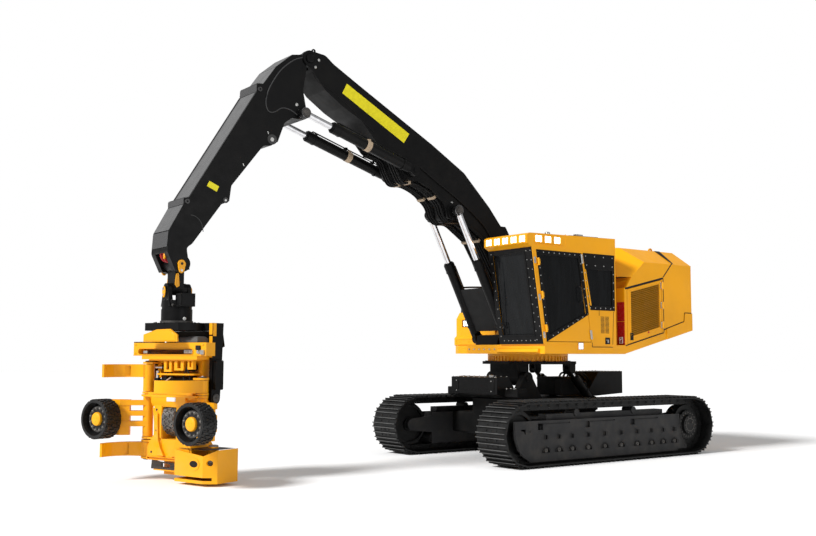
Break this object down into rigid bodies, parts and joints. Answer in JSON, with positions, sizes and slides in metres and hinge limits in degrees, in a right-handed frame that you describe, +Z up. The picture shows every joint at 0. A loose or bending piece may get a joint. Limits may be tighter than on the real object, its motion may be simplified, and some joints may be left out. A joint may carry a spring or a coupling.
{
  "type": "forestry harvester",
  "caption": "Forestry harvester on crawler tracks: levelled slewing house with side cab, two-part boom, and a tilting head with feed wheels, delimbing knives and saw bar.",
  "frame": {"origin": "on the ground, on the slewing axis", "axes": "+X forward along the boom, +Y to the cab side, +Z up"},
  "size_m": [10.6364, 3.47, 6.3398],
  "materials": {
    "amber_paint": "semi-gloss",
    "black_paint": "satin",
    "grey_paint": "satin",
    "track_steel": "worn",
    "bare_steel": "worn",
    "chrome_rod": "polished",
    "tinted_glass": "gloss",
    "lamp_glass": "gloss",
    "engine_iron": "rough",
    "dark_plastic": "matt",
    "seat_cloth": "matt"
  },
  "bodies": {
    "undercarriage": {"track_left": "track_steel", "track_right": "track_steel", "idlers": "track_steel", "sprockets": "track_steel", "side_frame_left": "black_paint", "side_frame_right": "black_paint", "car_body": "black_paint", "tow_eyes": "black_paint", "body_boxes": "black_paint"},
    "leveller": {"level_frame": "black_paint", "slew_ring": "amber_paint"},
    "level_cylinders": {"level_barrels": "black_paint"},
    "level_pistons": {"level_rods": "chrome_rod"},
    "house": {"deck": "black_paint", "side_tank": "amber_paint", "counterweight": "amber_paint", "engine_house": "amber_paint", "engine_block": "engine_iron", "cab_shell": "amber_paint", "cab_glass": "tinted_glass", "cab_roof": "amber_paint", "lamps": "lamp_glass", "seat_base": "dark_plastic", "seat_cushions": "seat_cloth"},
    "cab_door": {"cab_door": "amber_paint", "door_glass": "tinted_glass"},
    "service_door": {"grille_door": "black_paint"},
    "hood": {"hood": "amber_paint"},
    "lift_cylinders": {"lift_barrels": "black_paint", "cylinder_guard": "amber_paint"},
    "lift_pistons": {"lift_rods": "chrome_rod"},
    "boom": {"boom": "black_paint"},
    "stick_cylinders": {"stick_barrels": "black_paint"},
    "stick_pistons": {"stick_rods": "chrome_rod"},
    "stick": {"stick": "black_paint"},
    "link": {"link": "black_paint"},
    "rotator": {"rotator_head": "black_paint"},
    "hanger": {"hanger": "amber_paint", "yoke_guard": "amber_paint"},
    "head": {"head_frame": "amber_paint", "saw_box": "amber_paint"},
    "saw_bar": {"saw_bar": "bare_steel"},
    "spine_roller": {"spine_roller": "bare_steel"},
    "knife_upper_left": {"knife_upper_left": "bare_steel"},
    "knife_upper_right": {"knife_upper_right": "bare_steel"},
    "knife_lower_right": {"knife_lower_right": "bare_steel"},
    "arm_left": {"feed_arm_left": "amber_paint"},
    "arm_right": {"feed_arm_right": "amber_paint"},
    "wheel_left": {"feed_wheel_left": "bare_steel"},
    "wheel_right": {"feed_wheel_right": "bare_steel"}
  },
  "joints": [
    {"name": "level_pitch", "type": "hinge", "parent": "undercarriage", "child": "leveller", "pos_m": [0.45, 0, 1.35], "axis": [0, 1, 0], "range_deg": [-6, 18]},
    {"name": "level_barrel_swing", "type": "hinge", "parent": "undercarriage", "child": "level_cylinders", "pos_m": [-1.15, 0, 0.93], "axis": [0, 1, 0], "range_deg": [-10.04, 3.55]},
    {"name": "level_rod_slide", "type": "slide", "parent": "level_cylinders", "child": "level_pistons", "axis": [0.7007, 0, 0.7134], "range_m": [-0.1025, 0.2996]},
    {"name": "slew", "type": "hinge", "parent": "leveller", "child": "house", "pos_m": [0, 0, 1.64], "axis": [0, 0, 1], "continuous": true},
    {"name": "cab_door_hinge", "type": "hinge", "parent": "house", "child": "cab_door", "pos_m": [1.01, 1.526, 1.96], "axis": [-0.1503, 0, -0.9886], "range_deg": [0, 85]},
    {"name": "service_door_hinge", "type": "hinge", "parent": "house", "child": "service_door", "pos_m": [-1.87, 1.52, 2.64], "axis": [0, 0, 1], "range_deg": [0, 100]},
    {"name": "hood_hinge", "type": "hinge", "parent": "house", "child": "hood", "pos_m": [-1.4, -1.52, 3.02298], "axis": [0.9761, 0, -0.2173], "range_deg": [0, 60]},
    {"name": "boom_luff", "type": "hinge", "parent": "house", "child": "boom", "pos_m": [0.15, 0, 2.35], "axis": [0, -1, 0], "range_deg": [-36, 22]},
    {"name": "lift_barrel_swing", "type": "hinge", "parent": "house", "child": "lift_cylinders", "pos_m": [0.85, 0, 2.035], "axis": [0, -1, 0], "range_deg": [-39.33, 24.15]},
    {"name": "lift_rod_slide", "type": "slide", "parent": "lift_cylinders", "child": "lift_pistons", "axis": [0.4582, 0, 0.8888], "range_m": [-0.4602, 0.2828]},
    {"name": "stick_swing", "type": "hinge", "parent": "boom", "child": "stick", "pos_m": [4.76, 0, 6.21], "axis": [0, 1, 0], "range_deg": [-75, 14]},
    {"name": "stick_barrel_swing", "type": "hinge", "parent": "boom", "child": "stick_cylinders", "pos_m": [2.84, 0, 4.7], "axis": [0, 1, 0], "range_deg": [-7.4, 1.63]},
    {"name": "stick_rod_slide", "type": "slide", "parent": "stick_cylinders", "child": "stick_pistons", "axis": [0.9559, 0, 0.2938], "range_m": [-0.2018, 1.0634]},
    {"name": "link_swing", "type": "hinge", "parent": "stick", "child": "link", "pos_m": [6.745, 0, 2.98], "axis": [0, -1, 0], "range_deg": [-60, 60]},
    {"name": "cross_swing", "type": "hinge", "parent": "link", "child": "rotator", "pos_m": [6.69, 0, 2.64], "axis": [1, 0, 0], "range_deg": [-30, 30]},
    {"name": "rotator_turn", "type": "hinge", "parent": "rotator", "child": "hanger", "pos_m": [6.69, 0, 2.36], "axis": [0, 0, 1], "continuous": true},
    {"name": "head_tilt", "type": "hinge", "parent": "hanger", "child": "head", "pos_m": [6.52086, -0.06156, 1.15], "axis": [-0.342, 0.9397, 0], "range_deg": [0, 110]},
    {"name": "spine_roller_spin", "type": "hinge", "parent": "head", "child": "spine_roller", "pos_m": [6.60073, -0.03249, 0.85], "axis": [-0.342, 0.9397, 0], "continuous": true},
    {"name": "saw_swing", "type": "hinge", "parent": "head", "child": "saw_bar", "pos_m": [6.34383, 0.51251, 0.1], "axis": [0, 0, 1], "range_deg": [0, 95]},
    {"name": "arm_left_swing", "type": "hinge", "parent": "head", "child": "arm_left", "pos_m": [6.51215, 0.48864, 0.85], "axis": [0, 0, -1], "range_deg": [0, 30]},
    {"name": "arm_right_swing", "type": "hinge", "parent": "head", "child": "arm_right", "pos_m": [6.86785, -0.48864, 0.85], "axis": [0, 0, 1], "range_deg": [0, 30]},
    {"name": "wheel_left_spin", "type": "hinge", "parent": "arm_left", "child": "wheel_left", "pos_m": [6.73457, 0.97398, 0.85], "axis": [0.9397, 0.342, 0], "continuous": true},
    {"name": "wheel_right_spin", "type": "hinge", "parent": "arm_right", "child": "wheel_right", "pos_m": [7.3502, -0.71747, 0.85], "axis": [0.9397, 0.342, 0], "continuous": true},
    {"name": "knife_upper_left_swing", "type": "hinge", "parent": "head", "child": "knife_upper_left", "pos_m": [6.51215, 0.48864, 1.3], "axis": [0, 0, 1], "range_deg": [0, 85]},
    {"name": "knife_upper_right_swing", "type": "hinge", "parent": "head", "child": "knife_upper_right", "pos_m": [6.86785, -0.48864, 1.51], "axis": [0, 0, 1], "range_deg": [0, 45]},
    {"name": "knife_lower_right_swing", "type": "hinge", "parent": "head", "child": "knife_lower_right", "pos_m": [6.86785, -0.48864, 0.425], "axis": [0, 0, 1], "range_deg": [0, 45]}
  ],
  "couplings": [
    {"joint": "level_barrel_swing", "follows": "level_pitch", "ratio": -0.54106},
    {"joint": "level_rod_slide", "follows": "level_pitch", "m_per_rad": 0.94082},
    {"joint": "lift_barrel_swing", "follows": "boom_luff", "ratio": 1.0841},
    {"joint": "lift_rod_slide", "follows": "boom_luff", "m_per_rad": 0.72608},
    {"joint": "stick_barrel_swing", "follows": "stick_swing", "ratio": 0.09472},
    {"joint": "stick_rod_slide", "follows": "stick_swing", "m_per_rad": -0.80931},
    {"joint": "arm_right_swing", "follows": "arm_left_swing", "ratio": 1}
  ]
}
